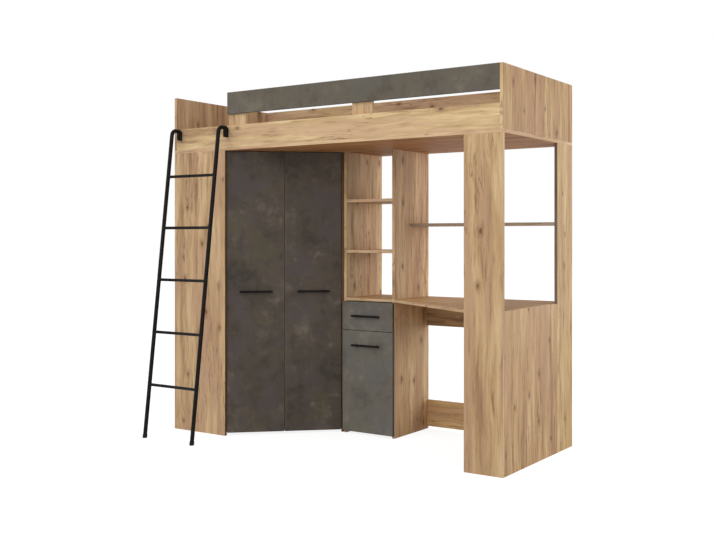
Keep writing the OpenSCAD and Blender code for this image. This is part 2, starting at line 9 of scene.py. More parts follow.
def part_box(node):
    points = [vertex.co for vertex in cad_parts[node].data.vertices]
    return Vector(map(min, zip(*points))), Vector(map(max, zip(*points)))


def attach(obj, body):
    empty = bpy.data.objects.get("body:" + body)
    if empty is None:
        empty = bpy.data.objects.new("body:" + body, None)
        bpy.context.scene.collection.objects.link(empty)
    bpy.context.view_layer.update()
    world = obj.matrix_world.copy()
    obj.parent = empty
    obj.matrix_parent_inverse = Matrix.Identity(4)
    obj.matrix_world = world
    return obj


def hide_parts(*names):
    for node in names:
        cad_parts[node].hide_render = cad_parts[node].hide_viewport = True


# A loft bed with a corner wardrobe, a drawer cabinet, a desk and a lift-off ladder
# Metres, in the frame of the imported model: X along the bed, Y towards the wall, Z up

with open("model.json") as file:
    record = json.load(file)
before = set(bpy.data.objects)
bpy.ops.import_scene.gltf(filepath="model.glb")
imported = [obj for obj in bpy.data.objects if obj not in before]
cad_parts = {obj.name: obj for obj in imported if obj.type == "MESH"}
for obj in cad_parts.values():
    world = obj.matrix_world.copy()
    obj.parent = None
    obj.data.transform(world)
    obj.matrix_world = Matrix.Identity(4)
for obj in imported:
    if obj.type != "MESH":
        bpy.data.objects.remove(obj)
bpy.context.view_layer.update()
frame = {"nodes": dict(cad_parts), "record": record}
bodyOf = {}
for body, names in frame["record"]["behaviour"]["bodies"].items():
    bodyOf.update((name, body) for name in names)
print("frame loaded:", len(bodyOf), "nodes")

mm = 0.001
corner = Vector((-1.016, -0.268700707, 0))  # the bed's front left corner on the floor
outX, outY, outZ = Vector((1, 0, 0)), Vector((0, 1, 0)), Vector((0, 0, 1))


# Small helpers for selecting, editing and finishing a piece

meshLook = {
    "copyWeld": 0.00002,  # corners of a copied solid that are nearer than this are one
    "turnedWeld": 0.00001,
    "bevelWeld": 0.000005,
    "flat": 0.4,  # degrees between faces of a copied solid that become one
    "round": 32,  # degrees up to which an edge is shaded round
}


def pickNone():
    bpy.ops.object.select_all(action="DESELECT")


def pickAll():
    bpy.ops.mesh.select_all(action="SELECT")


def pickOnly(piece):
    pickNone()
    bpy.context.view_layer.objects.active = piece
    piece.select_set(True)


def openForEdit(piece):
    pickOnly(piece)
    bpy.ops.object.mode_set(mode="EDIT")
    bpy.ops.mesh.select_all(action="DESELECT")


def closeEdit():
    bpy.ops.object.mode_set(mode="OBJECT")


def pickEdges(piece, wanted):
    bpy.ops.mesh.select_mode(type="EDGE")
    bpy.ops.mesh.select_all(action="DESELECT")
    shape = bmesh.from_edit_mesh(piece.data)
    shape.normal_update()
    for edge in shape.edges:
        if wanted(edge):
            edge.select_set(True)
    shape.select_flush_mode()
    bmesh.update_edit_mesh(piece.data)


def copyNode(nodeName, pieceName):
    piece = bpy.data.objects.new(pieceName, frame["nodes"][nodeName].data.copy())
    bpy.context.scene.collection.objects.link(piece)
    piece.data.materials.clear()
    openForEdit(piece)
    pickAll()
    bpy.ops.mesh.customdata_custom_splitnormals_clear()
    bpy.ops.mesh.remove_doubles(threshold=meshLook["copyWeld"])
    bpy.ops.mesh.dissolve_limited(angle_limit=math.radians(meshLook["flat"]))
    closeEdit()
    return piece


def joinPieces(parts, name):
    pickNone()
    for part in parts:
        part.select_set(True)
    bpy.context.view_layer.objects.active = parts[0]
    if len(parts) > 1:
        bpy.ops.object.join()
    whole = bpy.context.view_layer.objects.active
    whole.name = whole.data.name = name
    return whole


def bakePlace(piece):
    # the place goes into the mesh, so that the object ends at the origin
    pickOnly(piece)
    bpy.ops.object.transform_apply(location=True, rotation=True, scale=True)


def copyPiece(piece, name, place):
    twin = bpy.data.objects.new(name, piece.data.copy())
    bpy.context.scene.collection.objects.link(twin)
    twin.data.transform(place)
    return twin


def standFor(piece, nodeName):
    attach(piece, bodyOf[nodeName])
    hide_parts(nodeName)


# Camera, floor and light

cameraLook = {
    "spot": (2.9306, -4.3404, 1.0844),
    "turn": 34.84,
    "lens": 49.54,
    "sensor": 36,
    "shift": (0.0315, -0.0456),
    "farthest": 60,
}
lightLook = {
    "ambient": 0.93,
    "lamps": {
        "keyLamp": {"spot": (-1.2, -4.6, 3.4), "aim": (0.0, 0.1, 0.9), "size": 2.6, "power": 44},
        "fillLamp": {"spot": (3.6, -3.9, 2.3), "aim": (0.2, 0.2, 0.9), "size": 2.6, "power": 30},
        "backLamp": {"spot": (2.4, 3.0, 1.2), "aim": (0.2, 0.3, 1.1), "size": 1.6, "power": 28},
    },
    "floorSize": 40,
    "floorWhite": 0.60,  # the floor that lights the bed
    "floorGlow": 0.86,  # the floor that is seen: a glow and a colour that takes the shadow
    "floorShade": 0.26,
}


def addCamera():
    turn = (math.radians(90), 0, math.radians(cameraLook["turn"]))
    bpy.ops.object.camera_add(location=cameraLook["spot"], rotation=turn)
    camera = bpy.context.object
    camera.name = "photoCamera"
    camera.data.lens = cameraLook["lens"]
    camera.data.sensor_width = cameraLook["sensor"]
    camera.data.shift_x, camera.data.shift_y = cameraLook["shift"]
    camera.data.clip_end = cameraLook["farthest"]
    bpy.context.scene.camera = camera


def addLamp(name, look):
    bpy.ops.object.light_add(type="AREA", location=look["spot"])
    lamp = bpy.context.object
    lamp.name = name
    way = Vector(look["aim"]) - Vector(look["spot"])
    lamp.rotation_euler = way.to_track_quat("-Z", "Y").to_euler()
    lamp.data.shape = "SQUARE"
    lamp.data.size = look["size"]
    lamp.data.energy = look["power"]


def addNode(tree, kind, inputs=None, **settings):
    made = tree.nodes.new("ShaderNode" + kind)
    for name, value in settings.items():
        setattr(made, name, value)
    for name, value in (inputs or {}).items():
        if isinstance(value, bpy.types.NodeSocket):
            tree.links.new(value, made.inputs[name])
        else:
            made.inputs[name].default_value = value
    return made


def work(tree, operation, first, second=0.5):
    return addNode(tree, "Math", {0: first, 1: second}, operation=operation).outputs[0]


def plainGrey(value):
    return (value, value, value, 1)


def seenDirectly(tree):
    # 1 for camera, glossy and transmission rays, so that metal shows the white background too
    path = addNode(tree, "LightPath").outputs
    first = work(tree, "MAXIMUM", path["Is Camera Ray"], path["Is Glossy Ray"])
    return work(tree, "MAXIMUM", first, path["Is Transmission Ray"])


def addStage():
    world = bpy.data.worlds.new("studio")
    bpy.context.scene.world = world
    world.use_nodes = True
    tree = world.node_tree
    tree.nodes.clear()
    plain = addNode(tree, "Background", {"Color": plainGrey(1), "Strength": lightLook["ambient"]})
    white = addNode(tree, "Background", {"Color": plainGrey(1), "Strength": 1.0})
    mixed = addNode(tree, "MixShader", {0: seenDirectly(tree), 1: plain.outputs[0], 2: white.outputs[0]})
    addNode(tree, "OutputWorld", {"Surface": mixed.outputs[0]})

    pickNone()
    bpy.ops.mesh.primitive_plane_add(size=lightLook["floorSize"], location=(0, 0, 0))
    floor = bpy.context.object
    floor.name = "studioFloor"
    paint = bpy.data.materials.new("paleFloor")
    paint.use_nodes = True
    tree = paint.node_tree
    tree.nodes.clear()
    matte = addNode(tree, "BsdfDiffuse", {"Color": plainGrey(lightLook["floorWhite"])})
    shade = addNode(tree, "BsdfDiffuse", {"Color": plainGrey(lightLook["floorShade"])})
    glow = addNode(tree, "Emission", {"Color": plainGrey(1), "Strength": lightLook["floorGlow"]})
    shown = addNode(tree, "AddShader", {0: shade.outputs[0], 1: glow.outputs[0]})
    mixed = addNode(tree, "MixShader", {0: seenDirectly(tree), 1: matte.outputs[0], 2: shown.outputs[0]})
    addNode(tree, "OutputMaterial", {"Surface": mixed.outputs[0]})
    floor.data.materials.append(paint)


addCamera()
addStage()
for name, look in lightLook["lamps"].items():
    addLamp(name, look)
bpy.context.scene.view_settings.view_transform = "Standard"
print("camera, floor and light are in place")


# Materials: a range is (from value, to value, share at the first, share at the second)

def tone(red, green, blue):
    # a colour as a screen shows it, 0 to 255, as Blender wants it
    def straight(value):
        share = value / 255
        return share / 12.92 if share <= 0.04045 else ((share + 0.055) / 1.055) ** 2.4
    return (straight(red), straight(green), straight(blue), 1)


def withTones(look, **tones):
    return dict(look, **{name: tone(*colour) for name, colour in tones.items()})


def startMaterial(name, look):
    # a material, its node tree and the object's own coordinates, on which its pattern lies
    material = bpy.data.materials.new(name)
    material.use_nodes = True
    tree = material.node_tree
    shader = tree.nodes["Principled BSDF"]
    shader.inputs["Roughness"].default_value = look["roughness"]
    shader.inputs["Specular IOR Level"].default_value = look["specular"]
    shader.inputs["Metallic"].default_value = look.get("metallic", 0.0)
    return material, tree, addNode(tree, "TexCoord").outputs["Object"]


def finishMaterial(tree, colour, height, look, gloss=None):
    # height is the pattern that stands out, gloss the one that the roughness follows
    shader = tree.nodes["Principled BSDF"]
    strength, distance = look["bump"]
    relief = addNode(tree, "Bump", {"Strength": strength, "Distance": distance, "Height": height})
    tree.links.new(colour, shader.inputs["Base Color"])
    tree.links.new(relief.outputs[0], shader.inputs["Normal"])
    if gloss is not None:
        tree.links.new(spread(tree, gloss, *look["gloss"], "LINEAR"), shader.inputs["Roughness"])


def scaled(tree, vector, scale, location=(0, 0, 0), rotation=(0, 0, 0)):
    places = {"Vector": vector, "Scale": scale, "Location": location, "Rotation": rotation}
    return addNode(tree, "Mapping", places).outputs[0]


def noise(tree, vector, scale=1.0, detail=2.0, roughness=0.5, distortion=0.0):
    values = {"Scale": scale, "Detail": detail, "Roughness": roughness, "Distortion": distortion}
    return addNode(tree, "TexNoise", {"Vector": vector, **values}).outputs["Fac"]


def spread(tree, value, low, high, toLow=0.0, toHigh=1.0, kind="SMOOTHSTEP"):
    values = {"Value": value, "From Min": low, "From Max": high, "To Min": toLow, "To Max": toHigh}
    return addNode(tree, "MapRange", values, interpolation_type=kind).outputs[0]


def weigh(tree, first, second, shares):
    first, second = [work(tree, "MULTIPLY", *pair) for pair in zip((first, second), shares)]
    return work(tree, "ADD", first, second)


def mixColour(tree, share, first, second, kind="MIX"):
    return addNode(tree, "Mix", {0: share, 6: first, 7: second}, data_type="RGBA", blend_type=kind).outputs[2]


def ramp(tree, value, stops):
    made = addNode(tree, "ValToRGB", {"Fac": value})
    band = made.color_ramp
    band.interpolation = "EASE"
    while len(band.elements) < len(stops):
        band.elements.new(0.5)
    for element, (place, colour) in zip(band.elements, stops):
        element.position = place
        element.color = colour
    return made.outputs["Color"]


oakLook = withTones(
    {"roughness": 0.62, "specular": 0.14},
    light=(215, 186, 145), straw=(203, 171, 129), tan=(189, 156, 116), brown=(166, 132, 99),
    rosy=(188, 151, 121), vein=(118, 86, 60), knot=(86, 60, 42), knotRing=(133, 98, 70))
oakGrain = {
    # scale: repeats in a metre across the grain, along it and through the board
    "ragged": {"scale": (70, 34, 0), "detail": 3.0, "roughness": 0.6},
    "sway": {"scale": (9, 3.6, 0)},
    "field": {"scale": (6.5, 0.55, 1)},
    "streaks": {"scale": (66, 5.0, 9), "detail": 4.0, "roughness": 0.60},
    "staves": {"scale": (20, 1.4, 3), "roughness": 0.55},
    "hues": {"scale": (19, 1.2, 2), "offset": (4.4, 7.1, 0)},
    "pores": {"scale": (420, 20, 60), "roughness": 0.6},
    "veins": {"scale": (40, 2.6, 5), "offset": (3.1, 1.7, 0)},
    "patches": {"scale": (5, 2.3, 1), "offset": (9.2, 4.4, 0)},
    "knots": (7.2, 4.3, 0),
    "knotShare": 0.50,  # of the cells of the net
    "knotSize": (0.40, 1.0),
    "knotEdge": (-0.10, 0.10),
    "knotRise": (0.0, 0.42, 0.24, 0.0),
    "drift": 0.020,  # metres by which the lines wander
    "lines": (74.0, 5.0),  # turns of the field and of the streaks, in radians
    "lineDepth": 0.015,
    "linePlace": (0.35, 0.6, 0.45, 1.3),
    "shares": (0.62, 0.38),  # of the staves and the streaks
    "stops": (("brown", 0.38), ("tan", 0.46), ("straw", 0.53), ("light", 0.63)),
    "rosy": (0.46, 0.60, 0.0, 0.75),
    "darkStreaks": (0.30, 0.45, 0.36, 0.0),
    "cracks": (0.004, 0.016, 0.62, 0.0),
    "crackPlace": (0.50, 0.62, 0.0, 1.0),
    "poreMarks": (0.30, 0.48, 0.16, 0.0),
    "halo": (0.04, 0.24, 0.50, 0.0),
    "core": (0.00, 0.095, 0.74, 0.0),
    "reliefOfStreaks": 0.6,
    "reliefOfCracks": 1.5,
    "bump": (0.35, 0.00025),
    "gloss": (0.3, 0.7, 0.68, 0.56),
}


def makeOak(name, along, thin, shift, look=oakLook, knots=1.0, bright=1.0, fade=None):
    # along and thin are the axes of the grain and of the board's thickness, 0 to 2
    across = 3 - along - thin
    material, tree, place = startMaterial(name, look)
    parts = addNode(tree, "SeparateXYZ", {"Vector": place}).outputs
    turned = addNode(tree, "CombineXYZ", {0: parts[across], 1: parts[along], 2: parts[thin]}).outputs[0]
    flat = scaled(tree, turned, (1, 1, 1), shift)

    def grow(part, space):
        look = oakGrain[part]
        spot = scaled(tree, space, look["scale"], look.get("offset", (0, 0, 0)))
        return noise(tree, spot, 1.0, look.get("detail", 2.0), look.get("roughness", 0.5))

    def shareOf(value, part):
        return spread(tree, value, *oakGrain[part])

    # small knots, which some cells of a net carry; the growth lines circle them
    knotSpace = scaled(tree, flat, oakGrain["knots"])
    net = {"Vector": knotSpace, "Scale": 1.0, "Randomness": 1.0}
    cells = addNode(tree, "TexVoronoi", net, voronoi_dimensions="2D")
    pick = addNode(tree, "SeparateColor", {"Color": cells.outputs["Color"]}).outputs
    here = work(tree, "GREATER_THAN", pick[0], 1 - oakGrain["knotShare"] * knots)
    size = spread(tree, pick[1], 0, 1, *oakGrain["knotSize"], "LINEAR")
    far = work(tree, "DIVIDE", cells.outputs["Distance"], size)
    rough = spread(tree, grow("ragged", flat), 0, 1, *oakGrain["knotEdge"], "LINEAR")
    ragged = work(tree, "ADD", far, rough)

    # lines that wander: a slow field across the board, raised round each knot
    drift = spread(tree, grow("sway", flat), 0, 1, -oakGrain["drift"], oakGrain["drift"], "LINEAR")
    drift = addNode(tree, "CombineXYZ", {0: drift}).outputs[0]
    grain = addNode(tree, "VectorMath", {0: flat, 1: drift}, operation="ADD").outputs[0]
    rise = work(tree, "MULTIPLY", shareOf(ragged, "knotRise"), here)
    field = work(tree, "ADD", grow("field", grain), rise)
    streaks = grow("streaks", grain)
    lines = work(tree, "SINE", weigh(tree, field, streaks, oakGrain["lines"]))

    staves = grow("staves", grain)
    hues = grow("hues", grain)
    pores = grow("pores", grain)
    veins = grow("veins", grain)
    patches = grow("patches", flat)

    base = weigh(tree, staves, streaks, oakGrain["shares"])
    depth = work(tree, "MULTIPLY", lines, oakGrain["lineDepth"])
    depth = work(tree, "MULTIPLY", depth, shareOf(patches, "linePlace"))
    base = work(tree, "ADD", base, depth)
    colour = ramp(tree, base, [(stop, look[finish]) for finish, stop in oakGrain["stops"]])
    edge = work(tree, "ABSOLUTE", work(tree, "SUBTRACT", veins, 0.5))
    cracks = work(tree, "MULTIPLY", shareOf(edge, "cracks"), shareOf(patches, "crackPlace"))
    for share, finish in (
            (shareOf(hues, "rosy"), "rosy"),
            (shareOf(streaks, "darkStreaks"), "vein"),
            (cracks, "vein"),
            (shareOf(pores, "poreMarks"), "vein"),
            (work(tree, "MULTIPLY", shareOf(ragged, "halo"), here), "knotRing"),
            (work(tree, "MULTIPLY", shareOf(ragged, "core"), here), "knot")):
        colour = mixColour(tree, share, colour, look[finish])
    tint = (bright,) * 3 if isinstance(bright, float) else bright
    colour = mixColour(tree, 1.0, colour, (*tint, 1), "MULTIPLY")
    if fade:
        # painted light and shade: some boards grow lighter or darker along one axis of the bed, as light from
        # behind and shade make them
        share = spread(tree, parts[fade["axis"]], *fade["from"], *fade["tone"], "LINEAR")
        shade = addNode(tree, "CombineXYZ", {0: share, 1: share, 2: share}).outputs[0]
        colour = mixColour(tree, 1.0, colour, shade, "MULTIPLY")

    height = work(tree, "ADD", pores, work(tree, "MULTIPLY", streaks, oakGrain["reliefOfStreaks"]))
    height = work(tree, "SUBTRACT", height, work(tree, "MULTIPLY", cracks, oakGrain["reliefOfCracks"]))
    finishMaterial(tree, colour, height, oakGrain, streaks)
    return material


bandLook = withTones(
    oakLook, light=(222, 195, 158), straw=(213, 183, 145), tan=(203, 170, 132),
    brown=(190, 155, 120), rosy=(202, 166, 134))
# painted shade: the shady, grey, dim and dark bands are darker copies of the pale edge band, for edges that
# lie in shade
shadyBandLook = withTones(
    oakLook, light=(186, 168, 146), straw=(174, 156, 134), tan=(160, 142, 121),
    brown=(144, 126, 106), rosy=(158, 137, 119))
greyShadeBandLook = withTones(
    oakLook, light=(134, 118, 98), straw=(124, 108, 89), tan=(113, 98, 80),
    brown=(100, 86, 70), rosy=(112, 94, 80))
dimShadeBandLook = withTones(
    oakLook, light=(120, 94, 64), straw=(110, 85, 57), tan=(99, 76, 51),
    brown=(86, 66, 45), rosy=(97, 75, 54))
darkShadeBandLook = withTones(
    oakLook, light=(122, 94, 63), straw=(110, 84, 56), tan=(98, 74, 50),
    brown=(85, 64, 43), rosy=(96, 72, 50))

concreteLook = withTones(
    {"roughness": 0.6, "specular": 0.30},
    dark=(88, 82, 74), mid=(102, 96, 87), pale=(117, 111, 102), cool=(99, 97, 93),
    olive=(110, 104, 88), speck=(66, 61, 55), bloom=(132, 126, 117))
# painted shade: the diagonal doors have the guard rail's print made darker, for the shade under the deck
shadedDoorLook = withTones(
    concreteLook, dark=(57, 50, 42), mid=(76, 67, 58), pale=(96, 87, 76), cool=(81, 71, 69),
    olive=(86, 77, 58), speck=(46, 40, 34), bloom=(124, 115, 103))
# painted light: the rounded arrises where the diagonal doors meet are much lighter than the doors, lifting
# the shade in the split between them
litMeetingLook = withTones(
    concreteLook, dark=(128, 112, 92), mid=(140, 124, 103), pale=(152, 135, 113), cool=(138, 122, 104),
    olive=(136, 122, 98), speck=(104, 92, 76), bloom=(160, 143, 122))
edgeLook = withTones(
    concreteLook, dark=(48, 40, 30), mid=(57, 48, 37), pale=(67, 57, 45), cool=(54, 47, 38),
    olive=(56, 48, 36), speck=(36, 30, 23), bloom=(76, 66, 54))
frontLook = withTones(
    concreteLook, dark=(91, 85, 77), mid=(106, 100, 91), pale=(121, 115, 106), cool=(103, 101, 97),
    olive=(114, 108, 92))
guardLook = withTones(
    concreteLook, dark=(80, 72, 62), mid=(95, 87, 75), pale=(110, 102, 89), cool=(92, 87, 79),
    olive=(97, 89, 72), speck=(62, 56, 48), bloom=(127, 119, 106))
concretePrint = {
    # repeats in a metre, detail, roughness and distortion
    "clouds": (5.0, 4.0, 0.55, 0.4),
    "mottle": (16.0, 5.0, 0.62, 0.3),
    "grit": (260.0, 2.0, 0.6),
    "hue": (6.5, 3.0, 0.5),
    "olive": (8.0, 3.0, 0.5),
    "oliveShift": (2.2, 5.1, 3.3),
    "drawn": (1.0, 3.0, 0.6),
    "drawnScale": (22, 22, 3.0),
    "drawnShift": (1.3, 4.1, 0.7),
    "shares": (0.5, 0.5),
    "marks": 30.0,
    "pits": (0.05, 0.11, 1.0, 0.0),
    "pitShare": 0.82,  # of the marks stay flat
    "pitDepth": 0.6,
    "stops": (("dark", 0.36), ("mid", 0.50), ("pale", 0.64)),
    "coolMarks": (0.50, 0.64, 0.0, 0.7),
    "oliveMarks": (0.52, 0.66, 0.0, 0.6),
    "blooms": (0.60, 0.74, 0.0, 0.5),
    "bloomPlace": (0.45, 0.6),
    "drawnMarks": (0.30, 0.44, 0.22, 0.0),
    "specks": (0.30, 0.45, 0.28, 0.0),
    "relief": (0.8, 0.25),
    "bump": (0.3, 0.0003),
    "gloss": (0.3, 0.7, 0.52, 0.68),
}


def makeConcrete(name, shift, turn=0.0, look=concreteLook):
    printed = concretePrint
    material, tree, place = startMaterial(name, look)
    flat = scaled(tree, place, (1, 1, 1), shift, (0, 0, math.radians(turn)))
    clouds = noise(tree, flat, *printed["clouds"])
    mottle = noise(tree, flat, *printed["mottle"])
    grit = noise(tree, flat, *printed["grit"])
    drawn = scaled(tree, flat, printed["drawnScale"], printed["drawnShift"])
    drawn = noise(tree, drawn, *printed["drawn"])
    hue = noise(tree, flat, *printed["hue"])
    olive = noise(tree, scaled(tree, flat, (1, 1, 1), printed["oliveShift"]), *printed["olive"])
    marks = addNode(tree, "TexVoronoi", {"Vector": flat, "Scale": printed["marks"], "Randomness": 1.0})
    pick = addNode(tree, "SeparateColor", {"Color": marks.outputs["Color"]}).outputs[0]
    chosen = work(tree, "GREATER_THAN", pick, printed["pitShare"])
    pits = work(tree, "MULTIPLY", spread(tree, marks.outputs["Distance"], *printed["pits"]), chosen)

    base = weigh(tree, clouds, mottle, printed["shares"])
    colour = ramp(tree, base, [(stop, look[finish]) for finish, stop in printed["stops"]])
    blooms = spread(tree, mottle, *printed["blooms"])
    blooms = work(tree, "MULTIPLY", blooms, spread(tree, clouds, *printed["bloomPlace"]))
    for share, finish in (
            (spread(tree, hue, *printed["coolMarks"]), "cool"),
            (spread(tree, olive, *printed["oliveMarks"]), "olive"),
            (blooms, "bloom"),
            (spread(tree, drawn, *printed["drawnMarks"]), "dark"),
            (spread(tree, grit, *printed["specks"]), "speck"),
            (work(tree, "MULTIPLY", pits, printed["pitDepth"]), "speck")):
        colour = mixColour(tree, share, colour, look[finish])

    height = work(tree, "SUBTRACT", weigh(tree, mottle, grit, printed["relief"]), pits)
    finishMaterial(tree, colour, height, printed, mottle)
    return material


hardboardLook = {
    "stops": [(0.34, tone(118, 88, 60)), (0.50, tone(150, 118, 84)), (0.66, tone(171, 139, 103))],
    "fibres": (420.0, 4.0, 0.7, 1.5),
    "clouds": (9.0, 3.0),
    "shares": (0.55, 0.45),
    "roughness": 0.62,
    "specular": 0.25,
    "bump": (0.4, 0.0002),
}
blackSteelLook = {
    "stops": [(0.35, tone(14, 11, 9)), (0.65, tone(23, 19, 15))],
    "rubbed": tone(46, 41, 38),
    "peel": (900.0, 2.0, 0.5),
    "haze": (30.0, 3.0, 0.6),
    "rubs": (1.0, 3.0, 0.7),
    "rubScale": (240, 240, 20),
    "rubMarks": (0.66, 0.80, 0.0, 0.30),
    "roughness": 0.42,
    "specular": 0.12,
    "bump": (0.35, 0.00015),
    "gloss": (0.3, 0.7, 0.36, 0.50),
}
zincLook = {
    "stops": [(0.25, tone(168, 170, 172)), (0.55, tone(196, 198, 200)), (0.8, tone(212, 213, 214))],
    "spangle": 260.0,
    "haze": (40.0, 3.0, 0.6),
    "shares": (0.25, 0.75),
    "roughness": 0.35,
    "specular": 0.5,
    "metallic": 1.0,
    "bump": (0.15, 0.00008),
    "gloss": (0.3, 0.7, 0.30, 0.46),
}
rubberLook = {
    "stops": [(0.40, tone(24, 24, 24)), (0.72, tone(44, 43, 42))],
    "dust": (70.0, 4.0, 0.65),
    "grain": (1100.0, 2.0),
    "roughness": 0.82,
    "specular": 0.2,
    "bump": (0.4, 0.0001),
}


def makeHardboard(name, look=hardboardLook):
    material, tree, place = startMaterial(name, look)
    fibres = noise(tree, place, *look["fibres"])
    clouds = noise(tree, place, *look["clouds"])
    base = weigh(tree, fibres, clouds, look["shares"])
    finishMaterial(tree, ramp(tree, base, look["stops"]), fibres, look)
    return material


def makeBlackSteel(name, look=blackSteelLook):
    material, tree, place = startMaterial(name, look)
    peel = noise(tree, place, *look["peel"])
    haze = noise(tree, place, *look["haze"])
    rubs = noise(tree, scaled(tree, place, look["rubScale"]), *look["rubs"])
    colour = ramp(tree, haze, look["stops"])
    colour = mixColour(tree, spread(tree, rubs, *look["rubMarks"]), colour, look["rubbed"])
    finishMaterial(tree, colour, peel, look, haze)
    return material


def makeZinc(name, look=zincLook):
    material, tree, place = startMaterial(name, look)
    spangle = addNode(tree, "TexVoronoi", {"Vector": place, "Scale": look["spangle"]}).outputs["Color"]
    grey = addNode(tree, "SeparateColor", {"Color": spangle}).outputs[0]
    base = weigh(tree, grey, noise(tree, place, *look["haze"]), look["shares"])
    finishMaterial(tree, ramp(tree, base, look["stops"]), base, look, base)
    return material


def makeRubber(name, look=rubberLook):
    material, tree, place = startMaterial(name, look)
    dust = noise(tree, place, *look["dust"])
    finishMaterial(tree, ramp(tree, dust, look["stops"]), noise(tree, place, *look["grain"]), look)
    return material


blackSteel = makeBlackSteel("blackPowderCoat")
zincSteel = makeZinc("zincPlate")
rubber = makeRubber("blackRubber")
hardboard = makeHardboard("brownHardboard")
concreteEdge = makeConcrete("concreteBand", (0.4, 0.9, 0.2), look=edgeLook)
litMeetingEdge = makeConcrete("meetingBand", (0.4, 0.9, 0.2), look=litMeetingLook)
print("shared materials made")


# Oak boards: each is a bevelled copy of its solid with banded edges

axisNumber = {"x": 0, "y": 1, "z": 2}
boardLook = {
    "bevel": 0.0007,
    "steps": 2,
    "shortest": 0.012,  # shorter edges belong to drilled holes and stay sharp
    "sharp": 0.6,  # radians between the faces of an edge that is eased
    # how far a face looks one way, 0 to 1: a flat side, a side turned away and a rounded arris
    "facing": 0.9,
    "away": 0.2,
    "arris": (0.3, 0.97),
}
# grain is the way the grain runs; bright the tint of the board's print, which on several boards also holds
# painted light and shade;
# far the plain tint of the side turned away from the camera, and shaded the way in which the edges with a
# band of painted shade look
oakBoards = {
    # painted shade: the deck's underside and edges are darker and redder, as in the shade under the deck; its
    # top keeps the far tint
    "deck_board": {
        "grain": "x", "bright": (0.78, 0.57, 0.41), "far": {"side": (0, 0, 1), "bright": (0.94, 0.9, 0.86)}},
    # painted shade: the inner face and edges are darker, as in the shade under the deck; the outer face keeps
    # the far tint
    "left_end_panel": {
        "grain": "z", "bright": (0.77, 0.74, 0.76), "far": {"side": (-1, 0, 0), "bright": 0.98}},
    "right_end_panel": {"grain": "z", "bright": (0.89, 0.85, 0.79)},
    "front_beam": {"grain": "x", "bright": (1.13, 1.2, 1.19)},
    "back_rail": {"grain": "x", "bright": (0.86, 0.88, 0.91)},
    "guard_post_left": {"grain": "z"},
    "guard_post_middle": {"grain": "z"},
    # painted shade: the right edge, in the corner beside the doors, has a dark band
    "left_front_panel": {"grain": "z", "bright": (1.02, 1.01, 1.03), "band": "dark", "shaded": (1, 0, 0)},
    "right_front_panel": {"grain": "z", "bright": (0.93, 0.93, 0.91)},
    "right_side_panel": {"grain": "z", "bright": (0.96, 0.94, 0.9)},
    # painted shade: the front edge by the window has a grey band
    "right_back_post": {"grain": "z", "bright": (0.98, 0.99, 0.88), "band": "grey", "shaded": (0, -1, 0)},
    "wardrobe_left_side": {"grain": "z"},
    # painted light and shade: lighter than its print, darker towards the front and lighter towards the wall,
    # as light falls in from behind
    "wardrobe_right_side": {
        "grain": "z", "bright": (1.07, 1.12, 1.2),
        "fade": {"axis": 1, "from": (0.18, 0.55), "tone": (0.75, 1.3)}},
    # painted shade: the filler, recessed beside the right door, has a dim band
    "wardrobe_filler": {"grain": "z", "band": "dim"},
    "wardrobe_bottom": {"grain": "x"},
    "hat_shelf": {"grain": "x"},
    # painted shade: darker and redder than its print, and darker still towards its right end, as in the shade
    # of the side panels
    "desk_top": {
        "grain": "x", "bright": (0.97, 0.87, 0.71),
        "fade": {"axis": 0, "from": (0.5, 0.88), "tone": (1.0, 0.74)}},
    # painted light: lighter than its print, for light that reaches under the deck
    "divider_lower": {"grain": "z", "bright": (1.12, 1.14, 1.14)},
    # painted light and shade: darker towards the front and lighter towards the wall, as light falls in from
    # behind
    "divider_upper": {
        "grain": "z", "bright": (0.97, 0.97, 1.0),
        "fade": {"axis": 1, "from": (0.18, 0.55), "tone": (0.78, 1.24)}},
    "cabinet_bottom": {"grain": "x"},
    "cabinet_cross_rail": {"grain": "x"},
    "cabinet_shelf": {"grain": "x"},
    "open_shelf_lower": {"grain": "x"},
    "open_shelf_upper": {"grain": "x"},
    # painted shade: the edges of the shelf, deep under the deck, have a shady band
    "back_shelf": {"grain": "x", "band": "shady"},
    "under_desk_rail": {"grain": "x"},
    # painted light: much lighter than its print, for light that reaches deep under the desk
    "low_back_rail": {"grain": "x", "bright": (1.34, 1.35, 1.22)},
    "drawer_left_side": {"grain": "y"},
    "drawer_right_side": {"grain": "y"},
    "drawer_back": {"grain": "x"},
}


def thinAxis(nodeName):
    low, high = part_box(nodeName)
    size = high - low
    return min(range(3), key=lambda axis: size[axis])


def easeEdges(piece, look):
    def wanted(edge):
        if len(edge.link_faces) != 2 or edge.calc_length() <= look["shortest"]:
            return False
        return edge.calc_face_angle(0) > boardLook["sharp"]

    openForEdit(piece)
    pickEdges(piece, wanted)
    bpy.ops.mesh.bevel(
        offset=look["bevel"], segments=look["steps"], affect="EDGES", clamp_overlap=look.get("clamp", True))
    # corners that the bevel leaves on top of each other become one
    pickAll()
    bpy.ops.mesh.remove_doubles(threshold=meshLook["bevelWeld"])
    closeEdit()


def longAxis(face, piece):
    points = [piece.data.vertices[index].co for index in face.vertices]
    size = [max(p[axis] for p in points) - min(p[axis] for p in points) for axis in range(3)]
    return max(range(3), key=lambda axis: size[axis])


